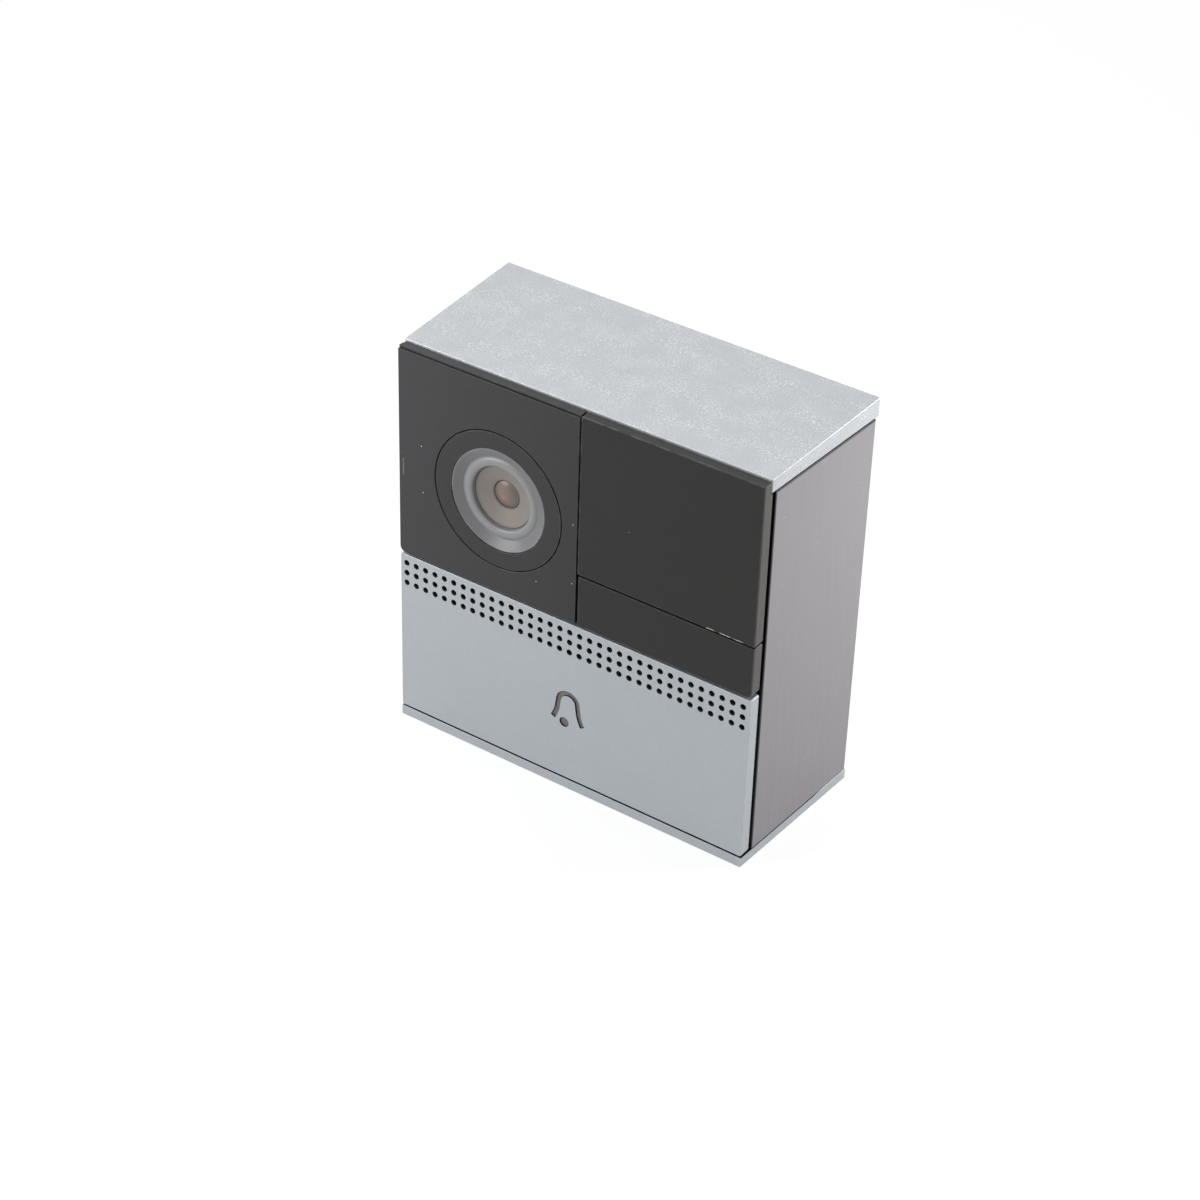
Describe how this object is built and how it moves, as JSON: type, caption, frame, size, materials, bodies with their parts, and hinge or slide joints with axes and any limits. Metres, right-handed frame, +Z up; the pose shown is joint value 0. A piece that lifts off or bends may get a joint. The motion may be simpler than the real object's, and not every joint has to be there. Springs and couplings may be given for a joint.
{
  "type": "video doorbell",
  "caption": "Flat square video doorbell with a camera, sensor windows, a speaker grille and a hinged push plate; it hangs on a wall bracket.",
  "frame": {"origin": "centre of the footprint, on the underside of the base plate", "axes": "+Z up, -Y out of the front face, +Y towards the wall, +X to the right seen from the front"},
  "size_m": [0.0828, 0.0364, 0.0855],
  "materials": {
    "satin_aluminium": "satin anodised, light grey",
    "dark_anodised": "satin anodised, warm dark grey",
    "black_abs": "fine satin black moulding",
    "infrared_plastic": "smooth black, lets infrared through",
    "chassis_black": "moulded black",
    "grey_bezel": "satin grey",
    "barrel_grey": "fine satin warm grey",
    "lens_glass": "polished, coated",
    "smoked_guide": "smoky translucent moulding",
    "stainless_steel": "plain",
    "black_rubber": "matt",
    "acoustic_fabric": "black woven mesh",
    "circuit_board": "green solder mask",
    "black_component": "moulded black",
    "green_nylon": "moulded green"
  },
  "bodies": {
    "case": {"base_plate": "satin_aluminium", "top_cap": "satin_aluminium", "side_panel_left": "dark_anodised", "side_panel_right": "dark_anodised", "camera_fascia": "black_abs", "camera_tray": "black_abs", "camera_ring": "black_abs", "pir_window": "infrared_plastic", "ir_window": "infrared_plastic", "front_chassis": "chassis_black", "rear_housing": "chassis_black", "lens_bezel": "grey_bezel", "bell_led": "grey_bezel", "lens_barrel": "barrel_grey", "front_lens": "lens_glass", "ir_led_left": "lens_glass", "ir_led_right": "lens_glass", "wall_bracket": "stainless_steel", "security_screw": "stainless_steel", "button_pivot_pin_left": "stainless_steel", "button_pivot_pin_right": "stainless_steel", "pir_sensor": "stainless_steel", "speaker_magnet": "stainless_steel", "microphone": "stainless_steel", "shield_can": "stainless_steel", "ethernet_jack": "stainless_steel", "chassis_screw_1": "stainless_steel", "chassis_screw_2": "stainless_steel", "chassis_screw_3": "stainless_steel", "chassis_screw_4": "stainless_steel", "lens_holder_screw_1": "stainless_steel", "lens_holder_screw_2": "stainless_steel", "main_board_screw_1": "stainless_steel", "main_board_screw_2": "stainless_steel", "wall_gasket": "black_rubber", "button_stop_left": "black_rubber", "button_stop_right": "black_rubber", "speaker_gasket": "black_rubber", "mic_boot": "black_rubber", "main_board": "circuit_board", "camera_board": "circuit_board", "sensor_board": "circuit_board", "button_board": "circuit_board", "lens_holder": "black_component", "image_sensor": "black_component", "light_sensor": "black_component", "tact_switch": "black_component", "speaker_frame": "black_component", "reset_switch": "black_component", "tamper_switch": "black_component", "terminal_block": "green_nylon"},
    "button": {"button_plate": "satin_aluminium", "bell_light_guide": "smoked_guide", "acoustic_mesh": "acoustic_fabric"},
    "switch_plunger": {"tact_plunger": "black_component"},
    "reset_plunger": {"reset_button": "black_component"},
    "tamper_pin": {"tamper_plunger": "black_component"},
    "infrared_filter": {"ir_cut_filter": "lens_glass"},
    "speaker_diaphragm": {"speaker_cone": "black_component"}
  },
  "joints": [
    {"name": "call_button_press", "type": "hinge", "parent": "case", "child": "button", "pos_m": [0, -0.01327, 0.036], "axis": [1, 0, 0], "range_deg": [0, 0.85], "stiffness_Nm_per_rad": 1.2, "springref_deg": -0.69},
    {"name": "call_switch_travel", "type": "slide", "parent": "case", "child": "switch_plunger", "axis": [0, 1, 0], "range_m": [0, 0.0004]},
    {"name": "reset_press", "type": "slide", "parent": "case", "child": "reset_plunger", "axis": [0, -1, 0], "range_m": [0, 0.0005], "stiffness_N_per_m": 800, "springref_m": -0.001},
    {"name": "tamper_press", "type": "slide", "parent": "case", "child": "tamper_pin", "axis": [0, -1, 0], "range_m": [0, 0.001], "stiffness_N_per_m": 400, "springref_m": -0.001},
    {"name": "filter_shift", "type": "slide", "parent": "case", "child": "infrared_filter", "axis": [1, 0, 0], "range_m": [0, 0.006]},
    {"name": "diaphragm_travel", "type": "slide", "parent": "case", "child": "speaker_diaphragm", "axis": [0, 1, 0], "range_m": [-0.0003, 0.0003], "stiffness_N_per_m": 900}
  ],
  "couplings": [
    {"joint": "call_switch_travel", "follows": "call_button_press", "m_per_rad": 0.0265}
  ]
}
